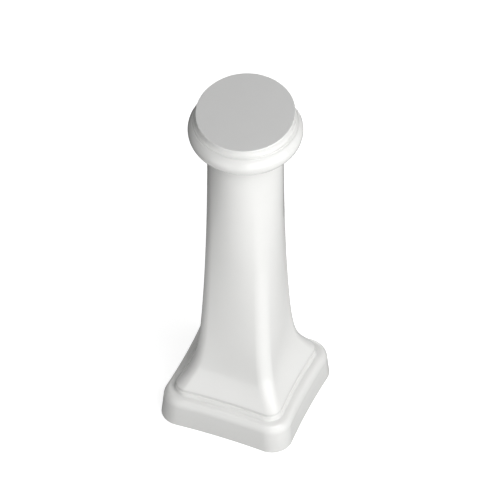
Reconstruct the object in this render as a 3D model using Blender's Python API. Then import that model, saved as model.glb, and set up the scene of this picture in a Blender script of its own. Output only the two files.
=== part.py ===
"""Ceramic column: a square moulded foot that sweeps up into a shaft, which turns
from square to round below a half-round collar and a flat, slightly sloping seat.

It is one hollow casting of glazed white china, open underneath. Every surface is a
loft of closed rings, each a rounded square, a circle, or a blend of the two.
Metres, +Z up. The front face looks along -Y. The origin is at the middle of the foot.
"""

import math

import bmesh
import bpy

# Overall sizes
HEIGHT = 0.700               # top edge of the seat, at the back
WALL = 0.011                 # thickness of the cast wall

# Square foot. "Half" is half the width across flats, and all heights are above the floor.
FOOT_HALF = 0.1196
FOOT_CORNER = 0.0364         # plan radius of the corners
FOOT_EDGE = 0.0008           # small round at the very bottom
SIDE_HEIGHT = 0.0369         # where the upright side starts to round over
SIDE_LEAN = 0.0028           # how far the side leans in over that height
SIDE_HALF = FOOT_HALF - SIDE_LEAN
EDGE_WIDTH = 0.0120          # the big soft top edge, a part of an ellipse
EDGE_HEIGHT = 0.0180
EDGE_TURN = 78
FACE_BOW = 0.0027            # the faces draw in by this much between their corners
CORNER_PER_INSET = 0.5       # a ring's corner radius falls by this share of its inset

# Shallow hollow round the skirt's foot, small rounded lip above it, and upright riser
HOLLOW_HALF = 0.0996
HOLLOW_HEIGHT = 0.0552
HOLLOW_RADIUS = 0.0025
LIP_HALF = 0.0984
LIP_HEIGHT = 0.0622
RISER_HALF = 0.0970
RISER_LEAN = 0.0003
RISER_HEIGHT = 0.0668

# Skirt: one concave sweep from the riser up into the shaft
SKIRT_FOOT_ANGLE = math.radians(59)
SKIRT_FOOT_PULL = 0.0438
SKIRT_TOP_HEIGHT = 0.215
SKIRT_TOP_HALF = 0.0651
SKIRT_TOP_PULL = 0.102
BOW_END_HEIGHT = 0.205       # above this the faces no longer draw in

# Shaft
SHAFT_CORNER = 0.0212
SHAFT_TAPER = -0.025         # change of half width per metre of height, at the skirt
NECK_HALF = 0.0652           # radius under the collar
NECK_HEIGHT = 0.6225
NECK_FLARE = 0.006           # change of half width per metre of height, at the neck
ROUNDING_START = 0.130       # the section is a rounded square up to here
ROUNDING_END = 0.580         # and a full circle from here

# A corner and a face of the square each take the share of the circle that they have of the
# way round the square, so the blend of the two runs smoothly from face to corner.
CORNER_RUN = SHAFT_CORNER * math.radians(90)
FACE_RUN = 2 * (SKIRT_TOP_HALF - SHAFT_CORNER)
CORNER_TURN = math.radians(90) * CORNER_RUN / (CORNER_RUN + FACE_RUN)
FACE_TURN = math.radians(90) - CORNER_TURN

# Collar: a half-round moulding, a groove, and a short drum with a small cove
TORUS_CENTRE = 0.0702
TORUS_RADIUS = 0.0275
TORUS_HEIGHT = 0.6500
TORUS_LOW = -98
TORUS_HIGH = 43
GROOVE_RADIUS = 0.0894
GROOVE_HEIGHT = 0.6683
COVE_LIP_RADIUS = 0.0886
COVE_LIP_HEIGHT = 0.6708
COVE_HEIGHT = 0.6750
DRUM_RADIUS = 0.0843

# Seat: a flat disc that slopes down towards the front
SEAT_RADIUS = 0.0836
SEAT_SLOPE = math.tan(math.radians(6.25))
SEAT_BEVEL = 0.0008
SEAT_HEIGHT = HEIGHT - SEAT_RADIUS * SEAT_SLOPE

# Hollow inside: a wall's thickness in from the outside, with softer turns
INNER_CORNER = 0.0120
INNER_LEDGE_HEIGHT = 0.0425
INNER_LEDGE_ROUND = 0.0060
THROAT_HALF = RISER_HALF - 0.8 * WALL
THROAT_ROUND = 0.0090
INNER_BULGE_END = 70

# Steps of the rings
CORNER_STEPS = 6
FACE_STEPS = 8
RING_STEPS = 4 * (CORNER_STEPS + FACE_STEPS)
EDGE_STEPS = 7
SMALL_ARC_STEPS = 2
SKIRT_STEPS = 13
SHAFT_STEPS = 9
TORUS_STEPS = 13
COVE_STEPS = 4
INNER_SKIRT_STEPS = 5
INNER_SHAFT_STEPS = 3
INNER_BULGE_STEPS = 4

# Surfaces
GLAZE_COLOUR = (0.86, 0.86, 0.85, 1.0)
GLAZE_ROUGHNESS = 0.12
BARE_COLOUR = (0.52, 0.52, 0.52, 1.0)
BARE_ROUGHNESS = 0.85
SHARP_ANGLE = math.radians(35)


def rounded_square(half, corner, bow):
    """Points round a square with round corners and slightly hollow faces."""
    flat = half - corner
    points = []
    for quarter in range(4):
        local = []
        for step in range(CORNER_STEPS + 1):
            turn = math.radians(90) * step / CORNER_STEPS
            local.append((flat + corner * math.cos(turn), flat + corner * math.sin(turn)))
        for step in range(1, FACE_STEPS):
            along = 1 - 2 * step / FACE_STEPS
            local.append((flat * along, half - bow * (1 - along * along)))
        cos_q = math.cos(math.radians(90) * quarter)
        sin_q = math.sin(math.radians(90) * quarter)
        points += [(x * cos_q - y * sin_q, x * sin_q + y * cos_q) for x, y in local]
    return points


def circle(radius):
    """Points round a circle that match those of rounded_square one by one."""
    turns = []
    for quarter in range(4):
        corner_start = math.radians(90) * quarter + FACE_TURN / 2
        face_start = corner_start + CORNER_TURN
        turns += [corner_start + CORNER_TURN * step / CORNER_STEPS
                  for step in range(CORNER_STEPS)]
        turns += [face_start + FACE_TURN * step / FACE_STEPS for step in range(FACE_STEPS)]
    return [(radius * math.cos(turn), radius * math.sin(turn)) for turn in turns]


def ring(half, height, corner=0.0, bow=0.0, roundness=1.0, slope=0.0):
    """One ring of the loft: a rounded square blended with a circle of the same half width."""
    square = rounded_square(half, corner, bow)
    points = []
    for (sx, sy), (cx, cy) in zip(square, circle(half)):
        x = sx + (cx - sx) * roundness
        y = sy + (cy - sy) * roundness
        points.append((x, y, height + slope * y))
    return points


def arc(centre, radii, start, end, steps):
    """Points (half width, height) on a part of an ellipse, between two angles in degrees."""
    points = []
    for step in range(steps + 1):
        turn = math.radians(start + (end - start) * step / steps)
        points.append((centre[0] + radii[0] * math.cos(turn),
                       centre[1] + radii[1] * math.sin(turn)))
    return points


def bezier(start, start_pull, end_pull, end, steps):
    """Points on a cubic curve through (half width, height), with their outward normals."""
    samples = []
    for step in range(steps + 1):
        t = step / steps
        s = 1 - t
        point = [s**3 * a + 3 * s * s * t * b + 3 * s * t * t * c + t**3 * d
                 for a, b, c, d in zip(start, start_pull, end_pull, end)]
        along = [s * s * (b - a) + 2 * s * t * (c - b) + t * t * (d - c)
                 for a, b, c, d in zip(start, start_pull, end_pull, end)]
        length = math.hypot(*along)
        samples.append((point[0], point[1], along[1] / length, -along[0] / length))
    return samples


def skirt_curve(steps):
    """The concave sweep from the riser to the shaft."""
    foot = (RISER_HALF - RISER_LEAN, RISER_HEIGHT)
    foot_pull = (foot[0] - SKIRT_FOOT_PULL * math.cos(SKIRT_FOOT_ANGLE),
                 foot[1] + SKIRT_FOOT_PULL * math.sin(SKIRT_FOOT_ANGLE))
    top = (SKIRT_TOP_HALF, SKIRT_TOP_HEIGHT)
    top_pull = (top[0] - SKIRT_TOP_PULL * SHAFT_TAPER, top[1] - SKIRT_TOP_PULL)
    return bezier(foot, foot_pull, top_pull, top, steps)


def shaft_curve(steps):
    """The long, almost straight run from the skirt to the neck."""
    foot = (SKIRT_TOP_HALF, SKIRT_TOP_HEIGHT)
    top = (NECK_HALF, NECK_HEIGHT)
    pull = (NECK_HEIGHT - SKIRT_TOP_HEIGHT) / 3
    foot_pull = (foot[0] + pull * SHAFT_TAPER, foot[1] + pull)
    top_pull = (top[0] - pull * NECK_FLARE, top[1] - pull)
    return bezier(foot, foot_pull, top_pull, top, steps)


def body_ring(half, height, corner):
    """A ring of the skirt or the shaft, rounder the higher it is."""
    roundness = (height - ROUNDING_START) / (ROUNDING_END - ROUNDING_START)
    roundness = min(max(roundness, 0.0), 1.0)
    fade = (height - RISER_HEIGHT) / (BOW_END_HEIGHT - RISER_HEIGHT)
    fade = min(max(fade, 0.0), 1.0)
    bow = FACE_BOW * (1 - fade * fade * (3 - 2 * fade))
    return ring(half, height, corner, bow, roundness)


def foot_corner(half):
    """Corner radius of a ring of the foot: it falls slowly to the hollow, then fast."""
    if half > HOLLOW_HALF:
        return min(FOOT_CORNER, FOOT_CORNER - CORNER_PER_INSET * (SIDE_HALF - half))
    hollow_corner = FOOT_CORNER - CORNER_PER_INSET * (SIDE_HALF - HOLLOW_HALF)
    share = (half - RISER_HALF) / (HOLLOW_HALF - RISER_HALF)
    return SHAFT_CORNER + share * (hollow_corner - SHAFT_CORNER)


def foot_rings():
    """The foot's side and soft top edge, then the hollow, the lip and the riser's start."""
    hollow_centre = (HOLLOW_HALF + HOLLOW_RADIUS, HOLLOW_HEIGHT + HOLLOW_RADIUS)
    lip_radius = LIP_HALF - RISER_HALF
    lip_centre = (RISER_HALF, LIP_HEIGHT - lip_radius)
    profile = [(FOOT_HALF - FOOT_EDGE, 0.0), (FOOT_HALF, FOOT_EDGE)]
    profile += arc((SIDE_HALF - EDGE_WIDTH, SIDE_HEIGHT), (EDGE_WIDTH, EDGE_HEIGHT),
                   0, EDGE_TURN, EDGE_STEPS)
    profile += arc(hollow_centre, (HOLLOW_RADIUS, HOLLOW_RADIUS), 270, 180, SMALL_ARC_STEPS)
    profile += arc(lip_centre, (lip_radius, lip_radius), 0, 90, SMALL_ARC_STEPS)
    return [ring(half, height, foot_corner(half), FACE_BOW, 0) for half, height in profile]


def collar_rings():
    """The half-round, the groove above it and the small cove of the drum."""
    profile = arc((TORUS_CENTRE, TORUS_HEIGHT), (TORUS_RADIUS, TORUS_RADIUS),
                  TORUS_LOW, TORUS_HIGH, TORUS_STEPS)
    profile.append((GROOVE_RADIUS, GROOVE_HEIGHT))
    profile += arc((COVE_LIP_RADIUS, COVE_HEIGHT),
                   (COVE_LIP_RADIUS - DRUM_RADIUS, COVE_HEIGHT - COVE_LIP_HEIGHT),
                   270, 180, COVE_STEPS)
    return [ring(radius, height) for radius, height in profile]


def seat_rings():
    """The bevelled rim and the edge of the flat seat, both on the seat's slope."""
    return [
        ring(SEAT_RADIUS + SEAT_BEVEL, SEAT_HEIGHT - SEAT_BEVEL, slope=SEAT_SLOPE),
        ring(SEAT_RADIUS, SEAT_HEIGHT, slope=SEAT_SLOPE),
    ]


def outer_rings():
    """All rings of the outside, from the floor up."""
    rings = foot_rings()
    for half, height, _, _ in skirt_curve(SKIRT_STEPS):
        rings.append(body_ring(half, height, SHAFT_CORNER))
    for half, height, _, _ in shaft_curve(SHAFT_STEPS)[1:]:
        rings.append(body_ring(half, height, SHAFT_CORNER))
    return rings + collar_rings() + seat_rings()


def inner_foot_rings():
    """The inside of the foot, and the throat where it narrows into the skirt."""
    side_half = SIDE_HALF - WALL
    ledge_centre = (side_half - INNER_LEDGE_ROUND, INNER_LEDGE_HEIGHT - INNER_LEDGE_ROUND)
    throat_centre = (THROAT_HALF + THROAT_ROUND, INNER_LEDGE_HEIGHT + THROAT_ROUND)
    profile = [(FOOT_HALF - WALL, 0.0)]
    profile += arc(ledge_centre, (INNER_LEDGE_ROUND, INNER_LEDGE_ROUND),
                   0, 90, SMALL_ARC_STEPS)
    profile += arc(throat_centre, (THROAT_ROUND, THROAT_ROUND), 270, 180, SMALL_ARC_STEPS)
    rings = []
    for half, height in profile:
        share = (half - THROAT_HALF) / (side_half - THROAT_HALF)
        corner = INNER_CORNER + min(share, 1.0) * (FOOT_CORNER - WALL - INNER_CORNER)
        rings.append(ring(half, height, corner, FACE_BOW, 0))
    return rings


def inner_collar_rings():
    """The inside of the neck, of the half-round and of the drum, up to the ceiling."""
    profile = arc((NECK_HALF, NECK_HEIGHT), (WALL, WALL), 180, 90, SMALL_ARC_STEPS)
    profile += arc((TORUS_CENTRE, TORUS_HEIGHT), (TORUS_RADIUS - WALL, TORUS_RADIUS - WALL),
                   -90, INNER_BULGE_END, INNER_BULGE_STEPS)
    rings = [ring(radius, height) for radius, height in profile]
    rings.append(ring(DRUM_RADIUS - WALL, SEAT_HEIGHT - WALL, slope=SEAT_SLOPE))
    return rings


def inner_rings():
    """All rings of the plainer inside, from the floor up."""
    rings = inner_foot_rings()
    body = skirt_curve(INNER_SKIRT_STEPS) + shaft_curve(INNER_SHAFT_STEPS)[1:-1]
    for half, height, out_half, out_height in body:
        rings.append(body_ring(half - WALL * out_half, height - WALL * out_height,
                               INNER_CORNER))
    return rings + inner_collar_rings()


def china(name, colour, roughness):
    """White fired clay, glossy where it is glazed and matt where it is ground bare."""
    material = bpy.data.materials.new(name)
    material.use_nodes = True
    shader = material.node_tree.nodes["Principled BSDF"]
    shader.inputs["Base Color"].default_value = colour
    shader.inputs["Roughness"].default_value = roughness
    shader.inputs["Metallic"].default_value = 0.0
    return material


def loft(name, rings):
    """A closed body of quads through the rings in turn, capped flat at both ends."""
    shell = bmesh.new()
    loops = [[shell.verts.new(point) for point in points] for points in rings]
    for lower, upper in zip(loops, loops[1:]):
        for here in range(RING_STEPS):
            there = (here + 1) % RING_STEPS
            shell.faces.new((lower[here], lower[there], upper[there], upper[here]))
    shell.faces.new(reversed(loops[0]))
    shell.faces.new(loops[-1])
    mesh = bpy.data.meshes.new(name)
    shell.to_mesh(mesh)
    shell.free()
    return mesh


def ceramic_column(collection):
    """The one casting: the inside from its ceiling down, round the rim and up the outside."""
    rings = list(reversed(inner_rings())) + outer_rings()
    mesh = loft("ceramic_column", rings)
    mesh.materials.append(china("white_glazed_china", GLAZE_COLOUR, GLAZE_ROUGHNESS))
    mesh.materials.append(china("bare_ground_china", BARE_COLOUR, BARE_ROUGHNESS))
    for face in mesh.polygons:
        on_rim = face.center.z < FOOT_EDGE / 2
        on_seat = len(face.vertices) == RING_STEPS and face.normal.z > 0
        face.material_index = 1 if on_rim or on_seat else 0
    mesh.shade_smooth()
    mesh.set_sharp_from_angle(angle=SHARP_ANGLE)
    column = bpy.data.objects.new("ceramic_column", mesh)
    collection.objects.link(column)


def main():
    for item in list(bpy.data.objects):
        bpy.data.objects.remove(item, do_unlink=True)
    collection = bpy.data.collections.new("ceramic column")
    bpy.context.scene.collection.children.link(collection)
    ceramic_column(collection)


main()
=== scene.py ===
"""Ceramic column, dressed: one slip casting in glazed white china, its seat and foot rim
ground bare, on a pale studio floor.

The profile is drawn as runs of points (half width, height, tilt) from the ceiling of the
hollow down its inside, round the foot rim and up the outside to the seat. Each point of it
becomes a ring, a rounded square blended with a circle, and the rings are extruded one from
the other. Metres, +Z up, the front face looks along -Y.
"""
import math

import bmesh
import bpy
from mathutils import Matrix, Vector


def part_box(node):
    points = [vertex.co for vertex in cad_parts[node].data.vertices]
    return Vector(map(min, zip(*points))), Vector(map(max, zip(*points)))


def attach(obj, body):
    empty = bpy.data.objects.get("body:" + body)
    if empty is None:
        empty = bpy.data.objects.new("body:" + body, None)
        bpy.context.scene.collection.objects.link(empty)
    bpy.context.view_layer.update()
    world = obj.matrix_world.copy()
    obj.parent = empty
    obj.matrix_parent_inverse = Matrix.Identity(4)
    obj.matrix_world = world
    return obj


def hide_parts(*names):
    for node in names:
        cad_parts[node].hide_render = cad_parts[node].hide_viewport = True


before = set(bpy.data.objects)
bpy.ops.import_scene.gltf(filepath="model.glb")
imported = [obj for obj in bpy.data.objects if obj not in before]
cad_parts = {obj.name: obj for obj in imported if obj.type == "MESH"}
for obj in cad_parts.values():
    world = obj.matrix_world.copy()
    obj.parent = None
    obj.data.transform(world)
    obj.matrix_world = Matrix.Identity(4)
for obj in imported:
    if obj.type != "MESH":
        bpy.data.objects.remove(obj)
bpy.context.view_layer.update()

# Overall sizes, from the frame. "Half" is half the width across flats.
CAD_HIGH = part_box("ceramic_column")[1]
HEIGHT = CAD_HIGH.z          # top edge of the seat, at the back
FOOT_HALF = CAD_HIGH.x
WALL = 0.011                 # thickness of the cast wall

# Foot: its side and its big soft top edge, a part of an ellipse
FOOT_CORNER = 0.0364         # plan radius of the corners
SIDE_HEIGHT = 0.0369         # where the upright side starts to round over
SIDE_LEAN = 0.0028           # how far the side leans in over that height
SIDE_HALF = FOOT_HALF - SIDE_LEAN
EDGE_WIDTH = 0.0120
EDGE_HEIGHT = 0.0180
EDGE_TURN = 78
FACE_BOW = 0.0027            # the faces draw in by this much between their corners
CORNER_PER_INSET = 0.5       # a ring's corner radius falls by this share of its inset

# Shallow hollow round the skirt's foot, small rounded lip above it, and upright riser
HOLLOW_HALF = 0.0996
HOLLOW_HEIGHT = 0.0552
HOLLOW_RADIUS = 0.0025
LIP_HALF = 0.0984
LIP_HEIGHT = 0.0622
RISER_HALF = 0.0970
RISER_LEAN = 0.0003
RISER_HEIGHT = 0.0668

# Skirt: one concave sweep from the riser up into the shaft, with a pull at each end of it
SKIRT_FOOT_ANGLE = math.radians(59)
SKIRT_FOOT_PULL = 0.0438
SKIRT_TOP_HEIGHT = 0.215
SKIRT_TOP_HALF = 0.0651
SKIRT_TOP_PULL = 0.102
BOW_END_HEIGHT = 0.205       # above this the faces no longer draw in

# Shaft
SHAFT_CORNER = 0.0212
SHAFT_TAPER = -0.025         # change of half width per metre of height, at the skirt
NECK_HALF = 0.0652           # radius under the collar
NECK_HEIGHT = 0.6225
NECK_FLARE = 0.006           # change of half width per metre of height, at the neck
ROUNDING_START = 0.130       # the section is a rounded square up to here
ROUNDING_END = 0.580         # and a full circle from here
ROUNDING_EASE = 0.06         # share of that rise over which the change eases, to each side

# A corner and a face of the square each take the share of the circle that they have of the
# way round the square, so the blend of the two runs smoothly from face to corner.
CORNER_RUN = SHAFT_CORNER * math.radians(90)
FACE_RUN = 2 * (SKIRT_TOP_HALF - SHAFT_CORNER)
CORNER_TURN = math.radians(90) * CORNER_RUN / (CORNER_RUN + FACE_RUN)
FACE_TURN = math.radians(90) - CORNER_TURN

# Collar: a half-round moulding between two angles, a groove, and a short drum with a cove
TORUS_CENTRE = 0.0702
TORUS_RADIUS = 0.0275
TORUS_HEIGHT = 0.6500
TORUS_LOW = -98
TORUS_HIGH = 43
GROOVE_RADIUS = 0.0894
GROOVE_HEIGHT = 0.6683
COVE_LIP_RADIUS = 0.0886
COVE_LIP_HEIGHT = 0.6708
COVE_HEIGHT = 0.6750
DRUM_RADIUS = 0.0843

# Seat: a flat disc that slopes down towards the front
SEAT_RADIUS = 0.0836
SEAT_SLOPE = math.tan(math.radians(6.25))
SEAT_BEVEL = 0.0008
SEAT_HEIGHT = HEIGHT - SEAT_RADIUS * SEAT_SLOPE
SEAT_LOW = SEAT_HEIGHT - (SEAT_RADIUS + SEAT_BEVEL) * SEAT_SLOPE
SEAT_UPRIGHT = 0.99          # the normals of the seat's faces stand more upright than this

# Hollow inside: a wall's thickness in from the outside, with softer turns
INNER_CORNER = 0.0120
INNER_LEDGE_HEIGHT = 0.0425
INNER_LEDGE_ROUND = 0.0060
THROAT_HALF = RISER_HALF - 0.8 * WALL    # the wall is a little thinner at the riser
THROAT_ROUND = 0.0090
INNER_BULGE_END = 70

# How far the glaze rounds each corner of the profile, along both of its sides
RIM_SOFT = 0.0006
SIDE_SOFT = 0.0015
LEDGE_SOFT = 0.0020
LIP_SOFT = 0.0003
RISER_SOFT = 0.0004
NECK_SOFT = 0.0045
GROOVE_SOFT = 0.0012
BEVEL_SOFT = 0.0002

# A turn that is sharper than this shows as a hard line
SHARP_ANGLE = math.radians(40)

# Painted shade in the inward corners: half width and height of the corner, reach from it and
# depth
PAINTED_CORNER_SHADES = ((HOLLOW_HALF, HOLLOW_HEIGHT, 0.0022, 0.28), (RISER_HALF, RISER_HEIGHT, 0.0012, 0.60),
         (NECK_HALF, NECK_HEIGHT, 0.0070, 0.90), (GROOVE_RADIUS, GROOVE_HEIGHT, 0.0016, 0.30))

# Steps round a ring, in each quarter
CORNER_STEPS = 24
FACE_STEPS = 32
RING_STEPS = 4 * (CORNER_STEPS + FACE_STEPS)

# Steps along each rounded corner of the profile, its straight runs, small turns and curves
SOFT_STEPS = 5
SHORT_LINE_STEPS = 2
SEAT_STEPS = 3
LINE_STEPS = 4
RIM_STEPS = 6
DRUM_STEPS = 6
SIDE_STEPS = 10
SMALL_ARC_STEPS = 8
INNER_ARC_STEPS = 6
COVE_STEPS = 10
EDGE_STEPS = 26
SKIRT_STEPS = 60
SHAFT_STEPS = 56
TORUS_STEPS = 64
INNER_SKIRT_STEPS = 20
INNER_SHAFT_STEPS = 24
INNER_BULGE_STEPS = 16

# Sizes of the finishes' patterns, and how high the uneven ones stand
GLAZE_CLOUD = 0.090          # faint patches of tone and gloss
GLAZE_RUN = 0.045            # slow waves where the glaze ran
GLAZE_RUN_RISE = 0.00012
GLAZE_PEEL = 0.004           # the fine unevenness of a fired glaze
GLAZE_PEEL_RISE = 0.000004
BARE_CLOUD = 0.060           # faint patches on the bare body
BARE_GRIT = 0.0012           # its grain, drawn coarser than it is
BARE_GRIT_RISE = 0.00003

# A colour Mix node's sockets: its share, its two colours and its result
MIX_SHARE = 0
MIX_FIRST = 6
MIX_SECOND = 7
MIX_RESULT = 2

# Camera, on a long lens, as far round and as high as the photograph's
CAMERA_TURN = math.radians(22.34)
CAMERA_DROP = math.radians(46.487)
CAMERA_DISTANCE = 19.566
CAMERA_AIM_HEIGHT = 0.349
CAMERA_ASIDE = 0.0077        # places the column in the photograph's frame
CAMERA_ABOVE = 0.0033
PICTURE_WIDTH = 500
FOCAL_PIXELS = 11466.5
SENSOR_WIDTH = 36.0

# Floor, the far wall that it turns up into, table and lights
FLOOR_RADIUS = 19.4          # just beyond the cameras, so that the wall is in their reach
FLOOR_STEPS = 96
FAR_WALL_HEIGHT = 8.0
FLOOR_GLOW = 0.75
TABLE_HALF = 0.44
TABLE_DROP = 0.002           # keeps the table's face clear of the floor's
TABLE_GLOW = 0.08
LIGHT_AIM_HEIGHT = 0.35


def point(half, height, tilt=0.0):
    """A point of the profile. Tilt is how much of the seat's slope its ring takes."""
    return Vector((half, height, tilt))


def line(start, end, steps):
    """Points along a straight run."""
    return [start.lerp(end, step / steps) for step in range(steps + 1)]


def arc(centre, radii, start, end, steps):
    """Points on a part of an ellipse, between two angles in degrees."""
    turns = [math.radians(start + (end - start) * step / steps) for step in range(steps + 1)]
    return [point(centre[0] + radii[0] * math.cos(turn), centre[1] + radii[1] * math.sin(turn))
            for turn in turns]


def curve(start, start_pull, end_pull, end, steps):
    """Points on a cubic curve."""
    points = []
    for step in range(steps + 1):
        t = step / steps
        s = 1 - t
        points.append(s**3 * start + 3 * s * s * t * start_pull + 3 * s * t * t * end_pull
                      + t**3 * end)
    return points


def cut_back(points, reach):
    """A run without its first stretch, up to a distance from where it starts."""
    for number, (here, there) in enumerate(zip(points, points[1:])):
        near = (here - points[0]).length
        far = (there - points[0]).length
        if far > reach:
            return [here.lerp(there, (reach - near) / (far - near))] + points[number + 1:]
    raise ValueError("a run is shorter than the rounding of its corner")


def joined(first, *others):
    """Runs end to end. Each later one comes with how far the corner before it is rounded."""
    profile = first
    for reach, run in others:
        if reach:
            corner = run[0]
            before = cut_back(profile[::-1], reach)[::-1]
            after = cut_back(run, reach)
            turn = []
            for step in range(1, SOFT_STEPS):
                t = step / SOFT_STEPS
                turn.append(before[-1].lerp(corner, t).lerp(corner.lerp(after[0], t), t))
            profile = before + turn + after
        else:
            profile = profile + run[1:]
    return profile


def inset(points, depth):
    """A run moved square to itself, towards the inside."""
    moved = []
    for number, here in enumerate(points):
        along = points[min(number + 1, len(points) - 1)] - points[max(number - 1, 0)]
        along.normalize()
        moved.append(here - depth * point(along.y, -along.x))
    return moved


def skirt_run(steps):
    """The concave sweep from the riser to the shaft."""
    foot = point(RISER_HALF - RISER_LEAN, RISER_HEIGHT)
    top = point(SKIRT_TOP_HALF, SKIRT_TOP_HEIGHT)
    foot_pull = foot + SKIRT_FOOT_PULL * point(-math.cos(SKIRT_FOOT_ANGLE),
                                               math.sin(SKIRT_FOOT_ANGLE))
    top_pull = top - SKIRT_TOP_PULL * point(SHAFT_TAPER, 1)
    return curve(foot, foot_pull, top_pull, top, steps)


def shaft_run(steps):
    """The long, almost straight run from the skirt to the neck."""
    foot = point(SKIRT_TOP_HALF, SKIRT_TOP_HEIGHT)
    top = point(NECK_HALF, NECK_HEIGHT)
    pull = (NECK_HEIGHT - SKIRT_TOP_HEIGHT) / 3
    return curve(foot, foot + pull * point(SHAFT_TAPER, 1), top - pull * point(NECK_FLARE, 1),
                 top, steps)


def outer_profile():
    """The outside, from the inner edge of the foot rim to the edge of the bare seat."""
    lip_radius = LIP_HALF - RISER_HALF
    rim = line(point(FOOT_HALF - WALL, 0), point(FOOT_HALF, 0), RIM_STEPS)
    side = line(point(FOOT_HALF, 0), point(SIDE_HALF, SIDE_HEIGHT), SIDE_STEPS)
    edge = arc((SIDE_HALF - EDGE_WIDTH, SIDE_HEIGHT), (EDGE_WIDTH, EDGE_HEIGHT),
               0, EDGE_TURN, EDGE_STEPS)
    hollow = arc((HOLLOW_HALF + HOLLOW_RADIUS, HOLLOW_HEIGHT + HOLLOW_RADIUS),
                 (HOLLOW_RADIUS, HOLLOW_RADIUS), 270, 180, SMALL_ARC_STEPS)
    lip = arc((RISER_HALF, LIP_HEIGHT - lip_radius), (lip_radius, lip_radius),
              0, 90, SMALL_ARC_STEPS)
    ledge = line(edge[-1], hollow[0], LINE_STEPS)
    lip_wall = line(hollow[-1], lip[0], LINE_STEPS)
    riser = line(lip[-1], point(RISER_HALF - RISER_LEAN, RISER_HEIGHT), LINE_STEPS)
    skirt = skirt_run(SKIRT_STEPS)
    shaft = shaft_run(SHAFT_STEPS)
    torus = arc((TORUS_CENTRE, TORUS_HEIGHT), (TORUS_RADIUS, TORUS_RADIUS),
                TORUS_LOW, TORUS_HIGH, TORUS_STEPS)
    under = line(point(NECK_HALF, NECK_HEIGHT), torus[0], SHORT_LINE_STEPS)[:-1] + torus
    groove = point(GROOVE_RADIUS, GROOVE_HEIGHT)
    cove = arc((COVE_LIP_RADIUS, COVE_HEIGHT),
               (COVE_LIP_RADIUS - DRUM_RADIUS, COVE_HEIGHT - COVE_LIP_HEIGHT),
               270, 180, COVE_STEPS)
    rim_top = point(SEAT_RADIUS + SEAT_BEVEL, SEAT_HEIGHT - SEAT_BEVEL, SEAT_SLOPE)
    seat_edge = point(SEAT_RADIUS, SEAT_HEIGHT, SEAT_SLOPE)
    torus_top = line(torus[-1], groove, LINE_STEPS)
    groove_wall = line(groove, cove[0], LINE_STEPS)
    drum = line(cove[-1], rim_top, DRUM_STEPS)
    bevel = line(rim_top, seat_edge, LINE_STEPS)
    seat = line(seat_edge, point(SEAT_RADIUS - WALL, SEAT_HEIGHT, SEAT_SLOPE), SEAT_STEPS)
    return joined(rim, (RIM_SOFT, side), (SIDE_SOFT, edge), (LEDGE_SOFT, ledge), (0, hollow),
                  (0, lip_wall), (0, lip), (LIP_SOFT, riser), (RISER_SOFT, skirt), (0, shaft),
                  (NECK_SOFT, under), (GROOVE_SOFT / 2, torus_top), (GROOVE_SOFT, groove_wall),
                  (GROOVE_SOFT, cove), (0, drum), (BEVEL_SOFT, bevel), (BEVEL_SOFT, seat))


def inner_profile():
    """The plainer inside, from the foot rim up to the ceiling."""
    side_half = SIDE_HALF - WALL
    ledge_turn = arc((side_half - INNER_LEDGE_ROUND, INNER_LEDGE_HEIGHT - INNER_LEDGE_ROUND),
                     (INNER_LEDGE_ROUND, INNER_LEDGE_ROUND), 0, 90, INNER_ARC_STEPS)
    throat = arc((THROAT_HALF + THROAT_ROUND, INNER_LEDGE_HEIGHT + THROAT_ROUND),
                 (THROAT_ROUND, THROAT_ROUND), 270, 180, SMALL_ARC_STEPS)
    side = line(point(FOOT_HALF - WALL, 0), ledge_turn[0], LINE_STEPS)
    under_ledge = line(ledge_turn[-1], throat[0], SHORT_LINE_STEPS)
    body = inset(joined(skirt_run(INNER_SKIRT_STEPS), (0, shaft_run(INNER_SHAFT_STEPS))), WALL)
    body_foot = line(throat[-1], body[0], SHORT_LINE_STEPS)
    neck = arc((NECK_HALF, NECK_HEIGHT), (WALL, WALL), 180, 90, INNER_ARC_STEPS)
    bulge = arc((TORUS_CENTRE, TORUS_HEIGHT), (TORUS_RADIUS - WALL, TORUS_RADIUS - WALL),
                -90, INNER_BULGE_END, INNER_BULGE_STEPS)
    ceiling_edge = point(DRUM_RADIUS - WALL, SEAT_HEIGHT - WALL, SEAT_SLOPE)
    ceiling = line(bulge[-1], ceiling_edge, SEAT_STEPS)
    return joined(side, (0, ledge_turn), (0, under_ledge), (0, throat), (0, body_foot),
                  (0, body[:-1]), (0, line(body[-2], neck[0], 1)), (0, neck),
                  (0, line(neck[-1], bulge[0], 1)), (0, bulge), (0, ceiling))


def ramp(value, ease):
    """Rises from 0 to 1 as the value does, and eases in and out at both ends."""
    def rise(distance):
        if distance < -ease:
            return 0.0
        if distance > ease:
            return distance
        return (distance + ease) ** 2 / (4 * ease)
    return rise(value) - rise(value - 1)


def outer_corner(half):
    """Corner radius of the outside at a half width: slow to fall up to the hollow, then fast."""
    if half > HOLLOW_HALF:
        return min(FOOT_CORNER, FOOT_CORNER - CORNER_PER_INSET * (SIDE_HALF - half))
    hollow_corner = FOOT_CORNER - CORNER_PER_INSET * (SIDE_HALF - HOLLOW_HALF)
    share = max((half - RISER_HALF) / (HOLLOW_HALF - RISER_HALF), 0.0)
    return SHAFT_CORNER + share * (hollow_corner - SHAFT_CORNER)


def inner_corner(half):
    """Corner radius of the inside at a half width."""
    share = (half - THROAT_HALF) / (SIDE_HALF - WALL - THROAT_HALF)
    return INNER_CORNER + min(max(share, 0.0), 1.0) * (FOOT_CORNER - WALL - INNER_CORNER)


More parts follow.
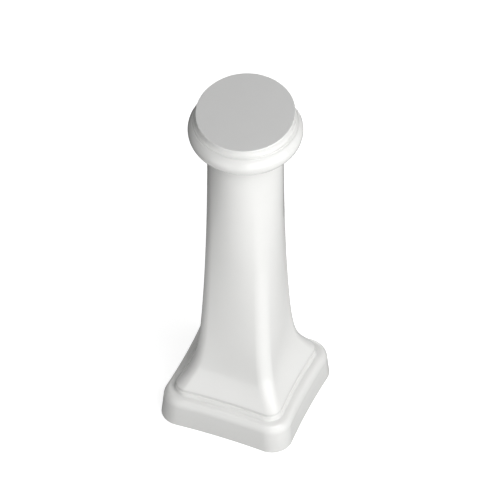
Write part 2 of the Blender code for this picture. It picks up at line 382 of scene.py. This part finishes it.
def corner_shade_depths(profile):
    """How deep the painted corner shade is at each point of the outside, from 0 to 1."""
    travel = [0.0]
    for here, there in zip(profile, profile[1:]):
        travel.append(travel[-1] + (there.xy - here.xy).length)
    depths = [0.0] * len(profile)
    for half, height, reach, depth in PAINTED_CORNER_SHADES:
        gaps = [(spot.xy - Vector((half, height))).length for spot in profile]
        corner = travel[gaps.index(min(gaps))]
        for number, way in enumerate(travel):
            depths[number] += depth * math.exp(-abs(way - corner) / reach)
    return depths


def rounded_square(half, corner, bow):
    """Points round a square with round corners and slightly hollow faces."""
    flat = half - corner
    points = []
    for quarter in range(4):
        local = []
        for step in range(CORNER_STEPS + 1):
            turn = math.radians(90) * step / CORNER_STEPS
            local.append((flat + corner * math.cos(turn), flat + corner * math.sin(turn)))
        for step in range(1, FACE_STEPS):
            along = 1 - 2 * step / FACE_STEPS
            local.append((flat * along, half - bow * (1 - along * along)))
        cos_q = math.cos(math.radians(90) * quarter)
        sin_q = math.sin(math.radians(90) * quarter)
        points += [(x * cos_q - y * sin_q, x * sin_q + y * cos_q) for x, y in local]
    return points


def circle(radius):
    """Points round a circle that match those of rounded_square one by one."""
    turns = []
    for quarter in range(4):
        corner_start = math.radians(90) * quarter + FACE_TURN / 2
        face_start = corner_start + CORNER_TURN
        turns += [corner_start + CORNER_TURN * step / CORNER_STEPS
                  for step in range(CORNER_STEPS)]
        turns += [face_start + FACE_TURN * step / FACE_STEPS for step in range(FACE_STEPS)]
    return [(radius * math.cos(turn), radius * math.sin(turn)) for turn in turns]


def ring(spot, corner):
    """The ring through a point of the profile: rounder, and with flatter faces, with height."""
    half, height, tilt = spot
    roundness = ramp((height - ROUNDING_START) / (ROUNDING_END - ROUNDING_START),
                     ROUNDING_EASE)
    fade = (height - RISER_HEIGHT) / (BOW_END_HEIGHT - RISER_HEIGHT)
    fade = min(max(fade, 0.0), 1.0)
    bow = FACE_BOW * (1 - fade * fade * (3 - 2 * fade))
    points = []
    for (sx, sy), (cx, cy) in zip(rounded_square(half, corner, bow), circle(half)):
        x = sx + (cx - sx) * roundness
        y = sy + (cy - sy) * roundness
        points.append((x, y, height + tilt * y))
    return points


def extruded(name, rings, shade_depths):
    """A closed body: a circle is set to the first ring and extruded to each ring in turn.
    Its points keep how deep the painted corner shade is on their ring."""
    shell = bmesh.new()
    place = shell.verts.layers.int.new("place")
    shade_layer = shell.verts.layers.float.new("painted_corner_shade")
    bmesh.ops.create_circle(shell, cap_ends=False, segments=RING_STEPS, radius=FOOT_HALF)
    for number, vert in enumerate(shell.verts):
        vert[place] = number
        vert.co = rings[0][number]
    rim = list(shell.edges)
    for points, shade_depth in zip(rings[1:], shade_depths[1:]):
        grown = bmesh.ops.extrude_edge_only(shell, edges=rim)["geom"]
        fresh = {item for item in grown if isinstance(item, bmesh.types.BMVert)}
        for vert in fresh:
            vert.co = points[vert[place]]
            vert[shade_layer] = shade_depth
        rim = [item for item in grown
               if isinstance(item, bmesh.types.BMEdge) and fresh.issuperset(item.verts)]
    bmesh.ops.holes_fill(shell, edges=shell.edges, sides=0)
    bmesh.ops.recalc_face_normals(shell, faces=shell.faces)
    shell.verts.layers.int.remove(place)
    mesh = bpy.data.meshes.new(name)
    shell.to_mesh(mesh)
    shell.free()
    return mesh


def linear(hex_colour):
    """A hex sRGB colour as the linear values that a shader reads."""
    channels = [int(hex_colour[start:start + 2], 16) / 255 for start in (1, 3, 5)]
    return [c / 12.92 if c <= 0.04045 else ((c + 0.055) / 1.055) ** 2.4 for c in channels] + [1]


def add_node(tree, kind, settings=None, values=None, links=None):
    """Adds a node with its settings, its sockets' values and the outputs linked to them."""
    node = tree.nodes.new(kind)
    for name, value in (settings or {}).items():
        setattr(node, name, value)
    for socket, value in (values or {}).items():
        node.inputs[socket].default_value = value
    for socket, output in (links or {}).items():
        tree.links.new(output, node.inputs[socket])
    return node


def new_material(name):
    """A material with its shader, and the place on the piece that its patterns read."""
    material = bpy.data.materials.new(name)
    material.use_nodes = True
    tree = material.node_tree
    place = add_node(tree, "ShaderNodeTexCoord").outputs["Object"]
    return material, tree, tree.nodes["Principled BSDF"], place


def glazed_white_china():
    """Vitreous china under a smooth-fired white glaze: the eye gets a hard wet gloss on a
    dense white, with reflections that swim a little where the glaze ran while it melted. Its
    inward corners are painted a shade greyer: painted shade, deepest under the collar as its
    shadow."""
    material, tree, shader, place = new_material("glazed_white_china")
    cloud = add_node(tree, "ShaderNodeTexNoise", values={"Scale": 1 / GLAZE_CLOUD, "Detail": 2.0},
                     links={"Vector": place})
    tint = add_node(tree, "ShaderNodeMix", {"data_type": "RGBA"},
                    {MIX_FIRST: linear("#E6E6E4"), MIX_SECOND: linear("#EBEBE9")},
                    {MIX_SHARE: cloud.outputs["Fac"]})
    # Painted shade: the colour is mixed towards a darker grey in the inward corners, most under
    # the collar, where it stands in for the collar's shadow.
    shade_depth = add_node(tree, "ShaderNodeAttribute", {"attribute_name": "painted_corner_shade"})
    shade = add_node(tree, "ShaderNodeMix", {"data_type": "RGBA"},
                     {MIX_SECOND: linear("#C8C8C6")},
                     {MIX_SHARE: shade_depth.outputs["Fac"], MIX_FIRST: tint.outputs[MIX_RESULT]})
    gloss = add_node(tree, "ShaderNodeMapRange", values={"To Min": 0.05, "To Max": 0.11},
                     links={"Value": cloud.outputs["Fac"]})
    run = add_node(tree, "ShaderNodeTexNoise", values={"Scale": 1 / GLAZE_RUN, "Detail": 1.0},
                   links={"Vector": place})
    swell = add_node(tree, "ShaderNodeBump", values={"Strength": 1.0, "Distance": GLAZE_RUN_RISE},
                     links={"Height": run.outputs["Fac"]})
    peel = add_node(tree, "ShaderNodeTexNoise", values={"Scale": 1 / GLAZE_PEEL, "Detail": 1.0},
                    links={"Vector": place})
    skin = add_node(tree, "ShaderNodeBump",
                    values={"Strength": 1.0, "Distance": GLAZE_PEEL_RISE},
                    links={"Height": peel.outputs["Fac"], "Normal": swell.outputs["Normal"]})
    shader.inputs["Metallic"].default_value = 0.0
    shader.inputs["IOR"].default_value = 1.52
    tree.links.new(shade.outputs[MIX_RESULT], shader.inputs["Base Color"])
    tree.links.new(gloss.outputs["Result"], shader.inputs["Roughness"])
    tree.links.new(skin.outputs["Normal"], shader.inputs["Normal"])
    return material


def bare_ground_china():
    """Unglazed china body, ground flat after firing: the eye gets a dead matt pale grey with
    a fine grit. Real grit is about 0.2 mm, and it is drawn at 1.2 mm so that it shows."""
    material, tree, shader, place = new_material("bare_ground_china")
    grit = add_node(tree, "ShaderNodeTexNoise", values={"Scale": 1 / BARE_GRIT, "Detail": 3.0},
                    links={"Vector": place})
    cloud = add_node(tree, "ShaderNodeTexNoise", values={"Scale": 1 / BARE_CLOUD, "Detail": 2.0},
                     links={"Vector": place})
    tone = add_node(tree, "ShaderNodeMath", {"operation": "MULTIPLY"},
                    links={0: grit.outputs["Fac"], 1: cloud.outputs["Fac"]})
    tint = add_node(tree, "ShaderNodeMix", {"data_type": "RGBA"},
                    {MIX_FIRST: linear("#DBDBDA"), MIX_SECOND: linear("#E4E4E3")},
                    {MIX_SHARE: tone.outputs[0]})
    rub = add_node(tree, "ShaderNodeBump", values={"Strength": 0.6, "Distance": BARE_GRIT_RISE},
                   links={"Height": grit.outputs["Fac"]})
    shader.inputs["Metallic"].default_value = 0.0
    shader.inputs["Roughness"].default_value = 0.9
    tree.links.new(tint.outputs[MIX_RESULT], shader.inputs["Base Color"])
    tree.links.new(rub.outputs["Normal"], shader.inputs["Normal"])
    return material


def ceramic_column():
    """The casting, glazed all over but for the seat and the rim it stands on."""
    inner = inner_profile()[::-1]
    outer = outer_profile()
    rings = ([ring(spot, inner_corner(spot.x)) for spot in inner]
             + [ring(spot, outer_corner(spot.x)) for spot in outer[1:]])
    mesh = extruded("ceramic_column_casting", rings, [0.0] * len(inner) + corner_shade_depths(outer)[1:])
    mesh.materials.append(glazed_white_china())
    mesh.materials.append(bare_ground_china())
    for face in mesh.polygons:
        # The rim's flat faces lie on the floor, and its rounded edge starts above them
        on_rim = face.center.z < RIM_SOFT / 4
        on_seat = face.center.z > SEAT_LOW and face.normal.z > SEAT_UPRIGHT
        face.material_index = 1 if on_rim or on_seat else 0
    mesh.shade_smooth()
    mesh.set_sharp_from_angle(angle=SHARP_ANGLE)
    column = bpy.data.objects.new("ceramic_column_casting", mesh)
    bpy.context.scene.collection.objects.link(column)
    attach(column, "root")
    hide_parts("ceramic_column")


def stage_piece(name, shape, hex_colour, glow):
    """A plain matt piece of the studio, which isn't part of the column."""
    mesh = bpy.data.meshes.new(name)
    shape.to_mesh(mesh)
    shape.free()
    material = bpy.data.materials.new(name)
    material.use_nodes = True
    shader = material.node_tree.nodes["Principled BSDF"]
    shader.inputs["Base Color"].default_value = linear(hex_colour)
    shader.inputs["Roughness"].default_value = 1.0
    shader.inputs["Specular IOR Level"].default_value = 0.0
    shader.inputs["Emission Color"].default_value = linear("#FFFFFF")
    shader.inputs["Emission Strength"].default_value = glow
    mesh.materials.append(material)
    piece = bpy.data.objects.new(name, mesh)
    bpy.context.scene.collection.objects.link(piece)
    return piece


def studio_floor():
    """A wide white floor that turns up into a far wall, for the camera, and the grey table
    that the glaze mirrors."""
    bowl = bmesh.new()
    bmesh.ops.create_circle(bowl, cap_ends=True, segments=FLOOR_STEPS, radius=FLOOR_RADIUS)
    grown = bmesh.ops.extrude_edge_only(bowl, edges=bowl.edges[:])["geom"]
    top = [item for item in grown if isinstance(item, bmesh.types.BMVert)]
    bmesh.ops.translate(bowl, verts=top, vec=(0, 0, FAR_WALL_HEIGHT))
    floor = stage_piece("studio_floor", bowl, "#C4C4C4", FLOOR_GLOW)
    floor.visible_diffuse = False
    floor.visible_glossy = False
    floor.visible_shadow = False
    slab = bmesh.new()
    bmesh.ops.create_grid(slab, x_segments=1, y_segments=1, size=TABLE_HALF)
    bmesh.ops.translate(slab, verts=slab.verts, vec=(0, 0, -TABLE_DROP))
    table = stage_piece("table_top", slab, "#A6A6A6", TABLE_GLOW)
    table.visible_camera = False


def heading(turn, rise):
    """The way to a place, in degrees to the right of the front and above the horizon."""
    turn, rise = math.radians(turn), math.radians(rise)
    return Vector((math.cos(rise) * math.sin(turn), -math.cos(rise) * math.cos(turn),
                   math.sin(rise)))


def softbox(name, turn, rise, distance, size, radiance):
    """A soft light that faces the column from a turn to the right and a rise above it. Its
    power is worked out from its face, so that the column sees the same radiance at any size."""
    light = bpy.data.lights.new(name, "AREA")
    light.shape = "RECTANGLE"
    light.size = size[0]
    light.size_y = size[1]
    light.energy = radiance * math.pi * size[0] * size[1]
    lamp = bpy.data.objects.new(name, light)
    lamp.location = Vector((0, 0, LIGHT_AIM_HEIGHT)) + distance * heading(turn, rise)
    lamp.rotation_euler = (math.radians(90 - rise), 0, math.radians(turn))
    lamp.visible_camera = False
    bpy.context.scene.collection.objects.link(lamp)


def studio_air(glows):
    """Dark studio with soft glows in it, each a turn, a rise, a spread and a strength. A glow
    is at its full strength up to a quarter of its spread."""
    world = bpy.data.worlds.new("studio_air")
    bpy.context.scene.world = world
    world.use_nodes = True
    tree = world.node_tree
    tree.nodes.clear()
    way = add_node(tree, "ShaderNodeTexCoord").outputs["Generated"]
    total = None
    for turn, rise, spread, strength in glows:
        nearness = add_node(tree, "ShaderNodeVectorMath", {"operation": "DOT_PRODUCT"},
                            {1: heading(turn, rise)}, {0: way})
        glow = add_node(tree, "ShaderNodeMapRange", {"interpolation_type": "SMOOTHSTEP"},
                        {"From Min": math.cos(math.radians(spread)),
                         "From Max": math.cos(math.radians(spread / 4)),
                         "To Max": strength}, {"Value": nearness.outputs["Value"]})
        if total is None:
            total = glow.outputs["Result"]
        else:
            total = add_node(tree, "ShaderNodeMath", {"operation": "ADD"},
                             links={0: glow.outputs["Result"], 1: total}).outputs[0]
    air = add_node(tree, "ShaderNodeBackground", values={"Color": (1, 1, 1, 1)},
                   links={"Strength": total})
    add_node(tree, "ShaderNodeOutputWorld", links={"Surface": air.outputs["Background"]})


def camera():
    """The photograph's view: from above, a little to the right of the front face."""
    ahead = Vector((-math.sin(CAMERA_TURN) * math.cos(CAMERA_DROP),
                    math.cos(CAMERA_TURN) * math.cos(CAMERA_DROP), -math.sin(CAMERA_DROP)))
    right = ahead.cross(Vector((0, 0, 1))).normalized()
    above = right.cross(ahead)
    aim = Vector((0, 0, CAMERA_AIM_HEIGHT)) + CAMERA_ASIDE * right + CAMERA_ABOVE * above
    lens = bpy.data.cameras.new("camera")
    lens.sensor_width = SENSOR_WIDTH
    lens.lens = SENSOR_WIDTH * FOCAL_PIXELS / PICTURE_WIDTH
    viewer = bpy.data.objects.new("camera", lens)
    viewer.location = aim - CAMERA_DISTANCE * ahead
    viewer.rotation_euler = ahead.to_track_quat("-Z", "Y").to_euler()
    bpy.context.scene.collection.objects.link(viewer)
    bpy.context.scene.camera = viewer


def main():
    ceramic_column()
    studio_floor()
    softbox("key_softbox", 60, -3, 1.8, (2.7, 1.7), 1.94)
    softbox("high_softbox", 63, 50, 2.2, (1.6, 0.95), 4.1)
    softbox("front_softbox", -20, -11, 2.2, (1.6, 1.35), 1.30)
    softbox("back_softbox", 199, -5, 2.0, (1.7, 1.6), 3.3)
    studio_air([(0, 0, 179, 0.07), (-60, 35, 60, 0.09), (58, 56, 34, 0.8), (0, 58, 50, 0.48),
                (5, -53, 45, 0.52), (142, -15, 55, 0.50), (112, 25, 60, 0.1)])
    bpy.context.scene.view_settings.view_transform = "Standard"
    camera()


main()
